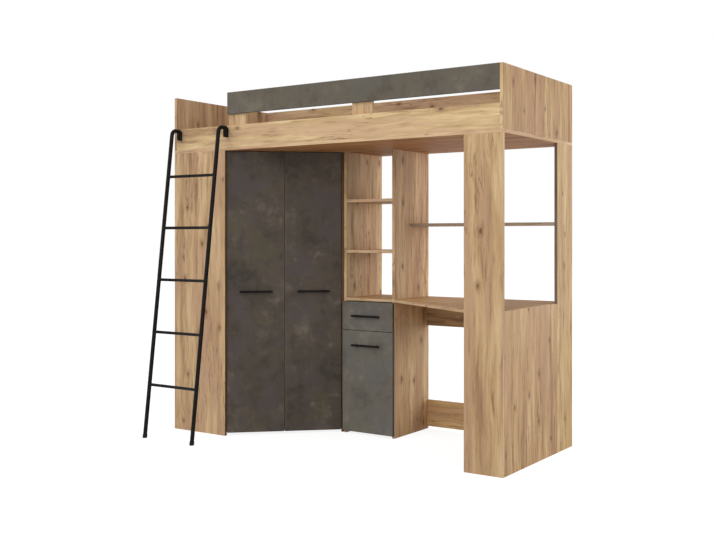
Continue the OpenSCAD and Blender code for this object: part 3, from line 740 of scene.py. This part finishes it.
def paintBoard(piece, thin, faceMaterial, look):
    # the edges take the board's band, pale unless it is one of painted shade; a board with a shaded side has
    # the band of painted shade only on that side's edges and pale ones elsewhere
    shaded = look.get("shaded")
    bands = oakBands[look.get("band", "pale")]
    for material in (faceMaterial, *bands, *(oakBands["pale"] if shaded else ())):
        piece.data.materials.append(material)
    for face in piece.data.polygons:
        face.use_smooth = False
        if abs(face.normal[thin]) > boardLook["facing"]:
            face.material_index = 0
        else:
            away = shaded and face.normal.dot(Vector(shaded)) < boardLook["away"]
            face.material_index = (4 if away else 1) + longAxis(face, piece)


def paintFarSide(piece, material, side):
    piece.data.materials.append(material)
    for face in piece.data.polygons:
        if face.normal.dot(Vector(side)) > boardLook["facing"]:
            face.material_index = len(piece.data.materials) - 1


def makeBand(name, grain, look):
    # the thin edge bands have no knots
    thin, shift = {
        "X": (1, (0.31, 0.2, 0.7)),
        "Y": (0, (0.53, 0.6, 0.1)),
        "Z": (0, (0.77, 0.4, 0.9)),
    }[grain]
    return makeOak(name + "BandAlong" + grain, "XYZ".index(grain), thin, shift, look, 0.0)


# one band material for each direction in which an edge can run
oakBands = {
    "pale": [makeBand("oak", "X", bandLook), makeBand("oak", "Y", bandLook), makeBand("oak", "Z", oakLook)],
    # painted shade: the shady, grey, dim and dark bands are for edges that lie in shade
    "shady": [makeBand("shady", "X", shadyBandLook)] * 3,
    "grey": [makeBand("grey", "X", greyShadeBandLook)] * 2 + [makeBand("grey", "Z", greyShadeBandLook)],
    "dim": [makeBand("dim", "Z", dimShadeBandLook)] * 3,
    "dark": [makeBand("dark", "X", darkShadeBandLook)] * 2 + [makeBand("dark", "Z", darkShadeBandLook)],
}
for number, (nodeName, look) in enumerate(oakBoards.items()):
    thin, along = thinAxis(nodeName), axisNumber[look["grain"]]
    # each board has its own stretch of the pattern
    shift = (0.37 * number + 0.11, 1.61 * number % 7.3, 0.83 * number)
    board = copyNode(nodeName, nodeName + "_laminated")
    easeEdges(board, boardLook)
    bright = look.get("bright", 1.0)
    face = makeOak(nodeName + "_oak", along, thin, shift, bright=bright, fade=look.get("fade"))
    paintBoard(board, thin, face, look)
    if "far" in look:
        far = makeOak(nodeName + "_far_oak", along, thin, shift, bright=look["far"]["bright"])
        paintFarSide(board, far, look["far"]["side"])
    standFor(board, nodeName)
print("oak boards:", len(oakBoards))


# Frame of the diagonal doors: x along them from their left end, y into the wardrobe

doorLine = {"start": (379, 16), "end": (835.019, 454.031), "thick": 16}
doorStart = Vector((*doorLine["start"], 0))
doorRun = math.dist(doorLine["start"], doorLine["end"])
doorAlong = (Vector((*doorLine["end"], 0)) - doorStart) / doorRun
doorInto = Vector((-doorAlong.y, doorAlong.x, 0))


def onDoor(x, y, z):
    return doorStart + doorAlong * x + doorInto * y + outZ * z


# Boards with the dark concrete print: the guard rail and the fronts

doorTurn = math.degrees(math.atan2(doorAlong.y, doorAlong.x))
# meets is the way from a diagonal door to the other one
concreteBoards = {
    "guard_rail": {"shift": (0.0, 0.3, 0.1), "look": guardLook},
    "wardrobe_door_left": {"shift": (1.7, 0.2, 0.4), "look": shadedDoorLook, "meets": doorAlong},
    "wardrobe_door_right": {"shift": (3.9, 1.2, 2.4), "look": shadedDoorLook, "meets": -doorAlong},
    "cabinet_door": {"shift": (5.1, 2.3, 1.4), "look": frontLook},
    "drawer_front": {"shift": (5.1, 2.3, 1.4), "look": concreteLook},
}
for nodeName, look in concreteBoards.items():
    board = copyNode(nodeName, nodeName + "_laminated")
    easeEdges(board, boardLook)
    front, turn = (-doorInto, -doorTurn) if "meets" in look else (-outY, 0.0)
    printed = makeConcrete(nodeName + "_concrete", look["shift"], turn, look["look"])
    board.data.materials.append(printed)
    board.data.materials.append(concreteEdge)
    if "meets" in look:
        board.data.materials.append(litMeetingEdge)
    low, high = boardLook["arris"]
    for face in board.data.polygons:
        face.use_smooth = False
        face.material_index = 0 if abs(face.normal.dot(front)) > boardLook["facing"] else 1
        # the rounded arrises where the two doors meet, lighter as painted light in the split between them
        if "meets" in look and low < face.normal.dot(look["meets"]) < high:
            face.material_index = 2
    standFor(board, nodeName)
print("concrete boards:", len(concreteBoards))


# Small helpers for turned, cut and repeated parts

def tidyShell():
    pickAll()
    bpy.ops.mesh.remove_doubles(threshold=meshLook["turnedWeld"])
    bpy.ops.mesh.normals_make_consistent(inside=False)


def turnPiece(name, profile, sides=24):
    # a disc raised ring by ring along Z; the profile is (radius, height) in millimetres
    pickNone()
    radius, height = profile[0]
    bpy.ops.mesh.primitive_circle_add(
        vertices=sides, radius=radius * mm, fill_type="NGON", location=(0, 0, height * mm))
    piece = bpy.context.object
    piece.name = piece.data.name = name
    bakePlace(piece)
    openForEdit(piece)
    pickAll()
    for nextRadius, nextHeight in profile[1:]:
        rise = {"value": (0, 0, (nextHeight - height) * mm)}
        bpy.ops.mesh.extrude_region_move(TRANSFORM_OT_translate=rise)
        grow = nextRadius / radius
        bpy.ops.transform.resize(value=(grow, grow, 1), center_override=(0, 0, nextHeight * mm))
        radius, height = nextRadius, nextHeight
    tidyShell()
    closeEdit()
    return piece


def cutAway(piece, cutter):
    dent = piece.modifiers.new("recess", "BOOLEAN")
    dent.operation = "DIFFERENCE"
    dent.solver = "EXACT"
    dent.object = cutter
    pickOnly(piece)
    bpy.ops.object.modifier_apply(modifier="recess")
    bpy.data.objects.remove(cutter)


def onBed(x, y, z):
    # a spot in millimetres from the bed's corner
    return corner + Vector((x, y, z)) * mm


def standing(x, y, z, direction, roll=0.0):
    # the place of a turned part on a face
    turn = Vector(direction).to_track_quat("Z", "Y").to_matrix().to_4x4()
    return Matrix.Translation(onBed(x, y, z)) @ turn @ Matrix.Rotation(math.radians(roll), 4, "Z")


def placeCopies(pattern, places, name):
    # all the copies of one small part that ride together become one piece
    copies = [copyPiece(pattern, f"{name}_{number}", place) for number, place in enumerate(places)]
    return joinPieces(copies, name)


def paintAndRide(piece, body, paint):
    piece.data.materials.clear()
    piece.data.materials.append(paint)
    pickOnly(piece)
    bpy.ops.object.shade_smooth_by_angle(angle=math.radians(meshLook["round"]))
    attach(piece, body)


# Thin hardboard sheets; nails hold two of them on the shelves' back edges

for nodeName in ("wardrobe_back", "cabinet_back", "drawer_bottom"):
    sheet = frame["nodes"][nodeName]
    sheet.data.materials.clear()
    sheet.data.materials.append(hardboard)

nailLook = {
    "profile": [(1.0, -14), (1.0, -0.2), (2.2, -0.2), (2.2, 0.15), (1.54, 0.4)],
    "sides": 12,
    "back": 832,  # where the sheets end towards the wall
    "rows": {
        "wardrobeBackNails": {"x": (50, 816), "count": 8, "z": (24, 1292)},
        "cabinetBackNails": {"x": (886, 1143), "count": 4, "z": (24, 292)},
    },
}
nail = turnPiece("nail", nailLook["profile"], nailLook["sides"])
for name, row in nailLook["rows"].items():
    first, last = row["x"]
    gap = (last - first) / (row["count"] - 1)
    columns = [first + gap * number for number in range(row["count"])]
    places = [standing(x, nailLook["back"], z, outY) for z in row["z"] for x in columns]
    paintAndRide(placeCopies(nail, places, name), "bed_frame", zincSteel)
print("hardboard sheets and their nails are on")


# Screws: one pan head with a cross recess, in three sizes

screwLook = {
    "handleScrew": {"head": 4.2, "height": 2.4, "shank": 2.0, "length": 12},
    "hingeScrew": {"head": 3.6, "height": 1.8, "shank": 1.7, "length": 11},
    "keeperScrew": {"head": 4.0, "height": 2.0, "shank": 2.1, "length": 13},
}
screwShape = {
    "tip": 3,
    "dome": [(0.96, 0), (1, 0.25), (0.93, 0.62), (0.72, 0.9), (0.40, 1)],  # shares of head and height
    "recess": (1.15, 0.27, 1.1),  # shares of head, head and height
    "sides": 20,
}


def makeScrew(name):
    look = screwLook[name]
    head, height, shank, length = look["head"], look["height"], look["shank"], look["length"]
    shaft = [(shank * 0.5, -length), (shank, -length + screwShape["tip"]), (shank, 0)]
    dome = [(head * wide, height * high) for wide, high in screwShape["dome"]]
    screw = turnPiece(name, shaft + dome, screwShape["sides"])
    long, wide, deep = screwShape["recess"]
    for turn in (0, 90):
        bpy.ops.mesh.primitive_cube_add(
            size=1, location=(0, 0, height * mm), rotation=(0, 0, math.radians(turn)),
            scale=(head * long * mm, head * wide * mm, height * deep * mm))
        bar = bpy.context.object
        bakePlace(bar)
        cutAway(screw, bar)
    return screw


handleScrew, hingeScrew, keeperScrew = [makeScrew(name) for name in screwLook]


# Handles: a round bar on two necked feet

handleLook = {
    "length": 180, "radius": 6, "reach": 22, "centres": 128, "round": 1.4,
    "foot": 5, "footCut": 0.4, "footTop": 8.0, "neck": 4.3,
    "neckPlaces": (7.3, 5.2, 2.0),  # down from the bar's middle, as footTop is
    "end": [(1, 0), (0.45, 0.18), (0.12, 0.55), (0, 1)],  # shares of the rounding, inwards and along
    "barSides": 40, "footSides": 32,
    "fromEdge": 157.33, "doorHeight": 786,
    "cabinetMiddle": 1014.5, "cabinetFront": 444, "cabinetHeight": 492, "drawerHeight": 653,
    "screwTurns": (25, 56),  # no two screws stand turned alike
}
fromEdge, doorHeight = handleLook["fromEdge"], handleLook["doorHeight"]
middle, front = handleLook["cabinetMiddle"], handleLook["cabinetFront"]
handleBoards = {
    "handle_left": {"spot": onDoor(fromEdge, 0, doorHeight), "out": -doorInto},
    "handle_right": {"spot": onDoor(doorRun - fromEdge, 0, doorHeight), "out": -doorInto},
    "cabinet_door_handle": {
        "spot": Vector((middle, front, handleLook["cabinetHeight"])), "out": -outY},
    "drawer_handle": {"spot": Vector((middle, front, handleLook["drawerHeight"])), "out": -outY},
}


def makeHandle(look):
    # modelled on a face at y = 0, standing out towards -y
    half, edge, radius = look["length"] / 2, look["round"], look["radius"]
    foot, cut, reach = look["foot"], look["footCut"], look["reach"]
    end = [(radius - edge * inward, half - edge * along) for inward, along in look["end"]]
    bar = turnPiece("handleBar", [(wide, -high) for wide, high in end] + end[::-1], look["barSides"])
    lying = Matrix.Rotation(math.radians(90), 4, "Y")
    bar.data.transform(Matrix.Translation((0, -reach * mm, 0)) @ lying)
    shoe = [(foot - cut, 0), (foot, cut), (foot, reach - look["footTop"])]
    neck = [(look["neck"], reach - place) for place in look["neckPlaces"]]
    leg = turnPiece("handleFoot", shoe + neck, look["footSides"])
    parts = [bar]
    for side in (-1, 1):
        spot = Matrix.Translation((side * look["centres"] / 2 * mm, 0, 0))
        parts.append(copyPiece(leg, "handleFootCopy", spot @ Matrix.Rotation(math.radians(90), 4, "X")))
    bpy.data.objects.remove(leg)
    return joinPieces(parts, "handlePattern")


handle = makeHandle(handleLook)
for nodeName, look in handleBoards.items():
    spot, out = look["spot"], look["out"]
    across = out.cross(outZ)
    turn = Matrix((-across, -out, outZ)).transposed().to_4x4()
    piece = copyPiece(handle, nodeName + "_bar", Matrix.Translation(onBed(*spot)) @ turn)
    paintAndRide(piece, bodyOf[nodeName], blackSteel)
    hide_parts(nodeName)
    middle = spot - out * doorLine["thick"]
    backs = [middle + across * side * handleLook["centres"] / 2 for side in (-1, 1)]
    places = [standing(*back, -out, turned) for back, turned in zip(backs, handleLook["screwTurns"])]
    screws = placeCopies(handleScrew, places, nodeName + "_screws")
    paintAndRide(screws, bodyOf[nodeName], zincSteel)
print("handles:", len(handleBoards))


# Concealed hinges, the hanging rail and the drawer's runners, with their screws

metalLook = {"steps": 2, "shortest": 0.001}  # how the edges of steel parts are eased
pressedLook = {
    "hinge_cups_left": {"bevel": 0.0003},
    "hinge_cups_right": {"bevel": 0.0003},
    "cabinet_hinge_cups": {"bevel": 0.0003},
    "wardrobe_hinge_arms": {"bevel": 0.0006, "clamp": False},
    "cabinet_hinge_arms": {"bevel": 0.0006, "clamp": False},
    "hanging_rail": {"bevel": 0.0003},
    "hanging_rail_sockets": {"bevel": 0.0005},
    "cabinet_runners": {"bevel": 0.0003},
    "drawer_runners": {"bevel": 0.0003},
}
for nodeName, look in pressedLook.items():
    piece = copyNode(nodeName, nodeName + "_pressed")
    easeEdges(piece, dict(look, **metalLook))
    paintAndRide(piece, bodyOf[nodeName], zincSteel)
    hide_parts(nodeName)

hingeLook = {
    "wardrobeHeights": (114, 561.333, 1008.667, 1456),
    "cabinetHeights": (114, 472),
    "cabinetEdge": (1177, 444),  # the cabinet door's hinged edge, at its front
    "wingX": 28.5,  # from the door's hinged edge
    "wingY": 17.2,  # from the door's front to the top of the cup's wings
    "wingZ": 24,
    "leftFace": (377, 16, 0),  # where the arms' faces start on the boards
    "rightFace": (850, 468.42, 0),
    "cabinetFace": (1163, 462, 0),
    "plateZ": 16,
    "plateTop": 3,
    "plateMiddle": 42,  # from the start of the arm's face
    "armTop": 12,
    "armScrews": (32, 54),
    "screwTurn": 37,  # from one screw to the next
}


def placeScrews(spots, direction, name, body):
    turned = hingeLook["screwTurn"]
    places = [standing(*spot, direction, turned * number % 90) for number, spot in enumerate(spots)]
    paintAndRide(placeCopies(hingeScrew, places, name), body, zincSteel)


def wingSpots(x, heights, place):
    rows = [z + side * hingeLook["wingZ"] for z in heights for side in (-1, 1)]
    return [place(x, hingeLook["wingY"], z) for z in rows]


def armSpots(face, along, away, heights):
    start = Vector(hingeLook[face])
    middle = start + along * hingeLook["plateMiddle"] + away * hingeLook["plateTop"]
    plates = [middle + outZ * (z + side * hingeLook["plateZ"]) for z in heights for side in (-1, 1)]
    arms = [start + along * reach + away * hingeLook["armTop"] + outZ * z
            for z in heights for reach in hingeLook["armScrews"]]
    return plates + arms


def onCabinet(x, y, z):
    edge, front = hingeLook["cabinetEdge"]
    return Vector((edge - x, front + y, z))


tall, low = hingeLook["wardrobeHeights"], hingeLook["cabinetHeights"]
wing = hingeLook["wingX"]
placeScrews(wingSpots(wing, tall, onDoor), doorInto, "leftCupScrews", "left_door")
placeScrews(wingSpots(doorRun - wing, tall, onDoor), doorInto, "rightCupScrews", "right_door")
placeScrews(wingSpots(wing, low, onCabinet), outY, "cabinetCupScrews", "cabinet_door")
placeScrews(armSpots("leftFace", -outX, outY, tall), outY, "leftArmScrews", "bed_frame")
placeScrews(armSpots("rightFace", outY, -outX, tall), -outX, "rightArmScrews", "bed_frame")
placeScrews(armSpots("cabinetFace", outY, -outX, low), -outX, "cabinetArmScrews", "bed_frame")

runnerLook = {"z": 642.5, "wall": 1.2, "bed_frame": (495, 640, 775), "drawer": (510, 655, 785)}
# x is the board or drawer side that the channel stands on, way the direction in which it stands out
runnerSides = {
    "leftRunnerScrews": {"x": 866, "way": 1, "body": "bed_frame"},
    "rightRunnerScrews": {"x": 1163, "way": -1, "body": "bed_frame"},
    "leftDrawerScrews": {"x": 879, "way": -1, "body": "drawer"},
    "rightDrawerScrews": {"x": 1150, "way": 1, "body": "drawer"},
}
for name, look in runnerSides.items():
    x = look["x"] + look["way"] * runnerLook["wall"]
    spots = [Vector((x, y, runnerLook["z"])) for y in runnerLook[look["body"]]]
    placeScrews(spots, outX * look["way"], name, look["body"])
print("hinges, runners and hanging rail:", len(pressedLook))


# Shelf pins and deck screws

pinLook = {
    "profile": [
        (2.0, -8.9), (2.5, -8.2), (2.5, -0.05), (4.0, 0.0), (4.0, 1.6), (3.4, 2.0),
        (3.4, 2.6), (4.0, 3.0), (4.0, 7.0), (3.7, 7.7), (3.0, 8.0)],
    "hat": {"x": (16, 850), "y": (582, 779), "z": 1280},
    "cabinet": {"x": (866, 1163), "y": (532, 779), "z": 280},
}
pin = turnPiece("shelfPin", pinLook["profile"])
places = []
for row in (pinLook["hat"], pinLook["cabinet"]):
    for x, side in zip(row["x"], (1, -1)):
        places += [standing(x, y, row["z"], outX * side) for y in row["y"]]
pins = placeCopies(pin, places, "shelf_pins_turned")
paintAndRide(pins, "bed_frame", zincSteel)
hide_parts("shelf_pins")

deckScrewLook = {
    "profile": [
        (1.5, -49.5), (3.5, -44), (3.5, -4), (4.6, -1.7), (4.95, -0.9), (4.95, -0.35),
        (4.5, -0.05), (3.0, 0.0)],
    "sides": 28,
    "socket": 2.0,
    "depth": 1.3,
    "top": 1575,
    "turn": 41,  # from one screw to the next
    "spots": [
        (60, 8), (188.5, 8), (317, 8), (8, 277.33), (8, 772), (858, 522), (858, 772),
        (1171, 522), (1171, 772), (1894, 8), (1972, 8), (2024, 692), (2024, 772)],
}
deckScrew = turnPiece("deckScrew", deckScrewLook["profile"], deckScrewLook["sides"])
bpy.ops.mesh.primitive_cylinder_add(
    vertices=6, radius=deckScrewLook["socket"] * mm, depth=2 * deckScrewLook["depth"] * mm)
cutAway(deckScrew, bpy.context.object)
places = []
for number, (x, y) in enumerate(deckScrewLook["spots"]):
    places.append(standing(x, y, deckScrewLook["top"], outZ, deckScrewLook["turn"] * number % 60))
screws = placeCopies(deckScrew, places, "deck_screws_turned")
paintAndRide(screws, "bed_frame", zincSteel)
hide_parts("deck_screws")
print("shelf pins and deck screws:", len(places))


# Ladder: bent tubes with hooks, welded rungs, ribbed feet and the keepers on the beam

ladderLook = {
    "x": (51, 395), "radius": 11, "sides": 40, "footY": -282, "sole": 4,
    "bendY": -44, "bendZ": 1651, "bendRadius": 30, "bendSteps": 14,
    "endY": -11, "endRound": 3, "endSteps": 4,
    "legY": -22, "leg": 9, "bore": 7, "boreTop": 1669, "legFoot": 1636, "legSides": 36,
    "legCut": 0.7, "boreCut": 0.5,
    "legTop": [(10.2, 1676), (10.1, 1672.5), (9.6, 1670.2), (9.0, 1668.6)],
    "pitch": 284, "count": 5, "rungSides": 32,
    "bead": [(8.0, 4), (9.8, 6), (9.8, 9.8), (9.3, 11.6), (8.5, 13.0), (8.0, 14.2)],
    "keeperFace": -3, "keeperBevel": 0.0007,
    "keeperScrews": {1646: 66, 1668: 38},  # the turn of the screw at each height
}
footLook = {
    "below": -6,  # cut off at the floor afterwards
    "cap": 12.5, "groove": 12.0, "grooves": (4.0, 8.0), "flat": 1.0, "slope": 0.6,
    "top": 17.6, "lip": [(-0.3, 18.6), (-0.9, 19.5)], "collar": (0.05, 20),
    "sides": 40,
}
bendOut, bendUp = ladderLook["bendY"] - ladderLook["footY"], ladderLook["bendZ"]
bendRadius = ladderLook["bendRadius"]
bendFar = math.hypot(bendOut, bendUp)
lean = math.radians(90) - math.atan2(bendUp, bendOut) - math.asin(bendRadius / bendFar)
railRun = math.sqrt(bendFar ** 2 - bendRadius ** 2)
railWay = Vector((0, math.sin(lean), math.cos(lean)))


def makeRail(look):
    # the first rail's tube lies in the plane x = 0
    sole = Vector((0, corner.y + look["footY"] * mm, 0)) + railWay * look["sole"] * mm
    bend = (0, corner.y + look["bendY"] * mm, look["bendZ"] * mm)
    endY = corner.y + look["endY"] * mm
    pickNone()
    bpy.ops.mesh.primitive_circle_add(
        vertices=look["sides"], radius=look["radius"] * mm, fill_type="NGON",
        location=sole, rotation=(-lean, 0, 0))
    rail = bpy.context.object
    bakePlace(rail)
    openForEdit(rail)
    pickAll()
    bpy.ops.mesh.extrude_region_move(
        TRANSFORM_OT_translate={"value": railWay * (railRun - look["sole"]) * mm})
    bpy.ops.mesh.spin(steps=look["bendSteps"], angle=math.radians(90) - lean, center=bend, axis=(1, 0, 0))
    bpy.ops.mesh.extrude_region_move(
        TRANSFORM_OT_translate={"value": (0, (look["endY"] - look["bendY"]) * mm, 0)})
    tidyShell()
    pickEdges(rail, lambda edge: all(abs(v.co.y - endY) < meshLook["turnedWeld"] for v in edge.verts))
    bpy.ops.mesh.bevel(offset=look["endRound"] * mm, segments=look["endSteps"], affect="EDGES")
    closeEdit()

    foot, wide, bore = look["legFoot"], look["leg"], look["bore"]
    cut, dip = look["legCut"], look["boreCut"]
    rim = [(wide, foot + cut), (wide - cut, foot), (bore + dip, foot), (bore, foot + dip)]
    leg = turnPiece("ladderLeg", look["legTop"] + rim + [(bore, look["boreTop"])], look["legSides"])
    leg.data.transform(Matrix.Translation((0, corner.y + look["legY"] * mm, 0)))
    return joinPieces([rail, leg], "ladderRailPattern")


rail = makeRail(ladderLook)
for nodeName, x in zip(("ladder_rail_left", "ladder_rail_right"), ladderLook["x"]):
    piece = copyPiece(rail, nodeName + "_bent", Matrix.Translation((corner.x + x * mm, 0, 0)))
    paintAndRide(piece, "ladder", blackSteel)
    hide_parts(nodeName)

# a rung from tube to tube, with a weld bead at each end
bead = ladderLook["bead"]
left, right = ladderLook["x"]
farBead = [(radius, right - left - place) for radius, place in reversed(bead)]
rung = turnPiece("ladderRung", bead + farBead, ladderLook["rungSides"])
places = []
for number in range(1, ladderLook["count"] + 1):
    climb = railWay * number * ladderLook["pitch"] / math.cos(lean) * mm
    spot = onBed(left, ladderLook["footY"], 0) + climb
    places.append(Matrix.Translation(spot) @ Matrix.Rotation(math.radians(90), 4, "Y"))
rungs = placeCopies(rung, places, "ladder_rungs_welded")
paintAndRide(rungs, "ladder", blackSteel)
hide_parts("ladder_rungs")

cap, groove, flat, slope = [footLook[name] for name in ("cap", "groove", "flat", "slope")]
gap, top = footLook["collar"]
profile = [(cap, footLook["below"])]
for z in footLook["grooves"]:
    profile += [(cap, z - slope), (groove, z), (groove, z + flat), (cap, z + flat + slope)]
profile += [(cap, footLook["top"])] + [(cap + step, z) for step, z in footLook["lip"]]
profile += [(ladderLook["radius"] + gap, top)]
foot = turnPiece("ladderFoot", profile, footLook["sides"])
tilt = Matrix.Rotation(-lean, 4, "X")
places = [Matrix.Translation(onBed(x, ladderLook["footY"], 0)) @ tilt for x in ladderLook["x"]]
feet = placeCopies(foot, places, "ladder_feet_ribbed")
openForEdit(feet)
pickAll()
bpy.ops.mesh.bisect(plane_co=(0, 0, 0), plane_no=(0, 0, 1), use_fill=True, clear_inner=True)
tidyShell()
closeEdit()
paintAndRide(feet, "ladder", rubber)
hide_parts("ladder_feet")

keepers = copyNode("ladder_keepers", "ladder_keepers_eased")
easeEdges(keepers, dict(metalLook, bevel=ladderLook["keeperBevel"]))
paintAndRide(keepers, "bed_frame", blackSteel)
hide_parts("ladder_keepers")
places = []
for x in ladderLook["x"]:
    for z, turned in ladderLook["keeperScrews"].items():
        places.append(standing(x, ladderLook["keeperFace"], z, -outY, turned))
screws = placeCopies(keeperScrew, places, "ladderKeeperScrews")
paintAndRide(screws, "bed_frame", blackSteel)

for pattern in (nail, handleScrew, hingeScrew, keeperScrew, handle, pin, deckScrew, rail, rung, foot):
    bpy.data.objects.remove(pattern)
print("ladder and its keepers are on")
